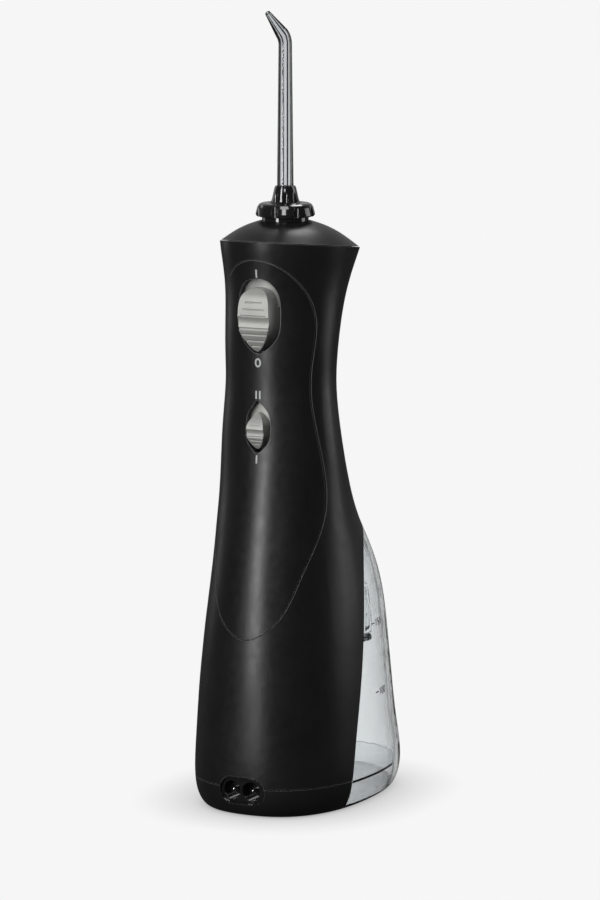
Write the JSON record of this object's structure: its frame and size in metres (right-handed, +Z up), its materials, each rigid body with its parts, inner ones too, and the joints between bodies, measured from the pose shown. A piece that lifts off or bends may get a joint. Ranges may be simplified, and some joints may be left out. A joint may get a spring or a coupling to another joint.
{
  "type": "water flosser",
  "caption": "Cordless upright water flosser with a tapered black handle, clear bent jet tip, turning knob, slide switches and a clear detachable rear tank.",
  "frame": {"origin": "on the jet tip's axis, in the plane the flosser stands on", "axes": "+Z up along the tip's axis, front with the sliders towards -Y, tank towards +Y, +X to the right seen from the front"},
  "size_m": [0.0666, 0.0954, 0.2955],
  "materials": {
    "body_black": "satin",
    "panel_black": "soft touch satin",
    "knob_black": "polished",
    "slider_grey": "satin",
    "tip_clear": "clear moulded plastic",
    "tank_clear": "clear moulded plastic, faint grey tint",
    "bright_steel": "bright",
    "motor_steel": "zinc plated",
    "copper_winding": "enamelled winding",
    "brass_gear": "machined",
    "white_acetal": "satin",
    "grey_nylon": "satin",
    "seal_rubber": "soft",
    "hose_silicone": "translucent",
    "cell_wrap": "shrink wrap",
    "contact_nickel": "nickel",
    "board_green": "solder mask",
    "switch_black": "satin",
    "lead_red": "insulated wire"
  },
  "bodies": {
    "handle": {"main_housing": "body_black", "front_panel": "panel_black", "head_cap": "body_black", "base_cap": "body_black", "base_seal": "seal_rubber", "base_screws": "bright_steel", "charging_port": "knob_black", "charging_pins": "bright_steel", "tip_socket": "grey_nylon", "tip_seals": "seal_rubber", "eject_spring": "bright_steel", "motor_can": "motor_steel", "motor_end_bell": "grey_nylon", "pump_frame": "grey_nylon", "frame_screws": "bright_steel", "gear_axle": "bright_steel", "pump_cylinder": "white_acetal", "valve_block": "white_acetal", "valve_balls": "bright_steel", "valve_springs": "bright_steel", "outlet_tube": "hose_silicone", "inlet_fitting": "brass_gear", "inlet_hose": "hose_silicone", "battery_cells": "cell_wrap", "battery_tray": "grey_nylon", "battery_contacts": "contact_nickel", "circuit_board": "board_green", "switch_body": "switch_black", "slider_guide": "grey_nylon", "motor_leads": "lead_red"},
    "power_slider": {"power_slider": "slider_grey"},
    "pressure_slider": {"pressure_slider": "slider_grey", "pressure_valve_stem": "grey_nylon"},
    "knob": {"rotation_knob": "knob_black"},
    "tip": {"jet_tip": "tip_clear"},
    "eject_button": {"eject_button": "body_black", "eject_latch": "grey_nylon"},
    "rotor": {"motor_pinion": "brass_gear", "motor_shaft": "bright_steel", "motor_rotor": "copper_winding"},
    "crank": {"crank_gear": "white_acetal"},
    "piston": {"piston": "white_acetal", "piston_seal": "seal_rubber", "wrist_pin": "bright_steel"},
    "rod": {"connecting_rod": "white_acetal"},
    "tank": {"reservoir_tank": "tank_clear", "port_seal": "seal_rubber", "intake_tube": "hose_silicone", "intake_filter": "white_acetal", "door_hinge_pin": "bright_steel"},
    "tank_door": {"reservoir_door": "tank_clear", "door_gasket": "hose_silicone"}
  },
  "joints": [
    {"name": "power_slide", "type": "slide", "parent": "handle", "child": "power_slider", "axis": [0, 0, 1], "range_m": [0, 0.0028]},
    {"name": "pressure_slide", "type": "slide", "parent": "handle", "child": "pressure_slider", "axis": [0, 0, 1], "range_m": [0, 0.0032]},
    {"name": "knob_turn", "type": "hinge", "parent": "handle", "child": "knob", "pos_m": [0, 0, 0.22], "axis": [0, 0, 1], "continuous": true},
    {"name": "tip_lift", "type": "slide", "parent": "knob", "child": "tip", "axis": [0, 0, 1], "range_m": [0, 0.042]},
    {"name": "eject_press", "type": "slide", "parent": "handle", "child": "eject_button", "axis": [0, -1, 0], "range_m": [0, 0.002], "stiffness_N_per_m": 600},
    {"name": "crank_turn", "type": "hinge", "parent": "handle", "child": "crank", "pos_m": [0, -0.009, 0.134], "axis": [0, 1, 0], "continuous": true},
    {"name": "motor_turn", "type": "hinge", "parent": "handle", "child": "rotor", "pos_m": [0, -0.009, 0.119], "axis": [0, 1, 0], "continuous": true},
    {"name": "piston_slide", "type": "slide", "parent": "handle", "child": "piston", "axis": [0, 0, 1], "range_m": [-0.007, 0]},
    {"name": "rod_swing", "type": "hinge", "parent": "piston", "child": "rod", "pos_m": [0, -0.0054, 0.1575], "axis": [0, 1, 0], "range_deg": [-10, 10]},
    {"name": "tank_pull", "type": "slide", "parent": "handle", "child": "tank", "axis": [0, 1, 0], "range_m": [0, 0.072]},
    {"name": "door_flip", "type": "hinge", "parent": "tank", "child": "tank_door", "pos_m": [0, 0.05321, 0.0534], "axis": [-1, 0, 0], "range_deg": [0, 100]}
  ],
  "couplings": [
    {"joint": "crank_turn", "follows": "motor_turn", "ratio": -0.25}
  ]
}
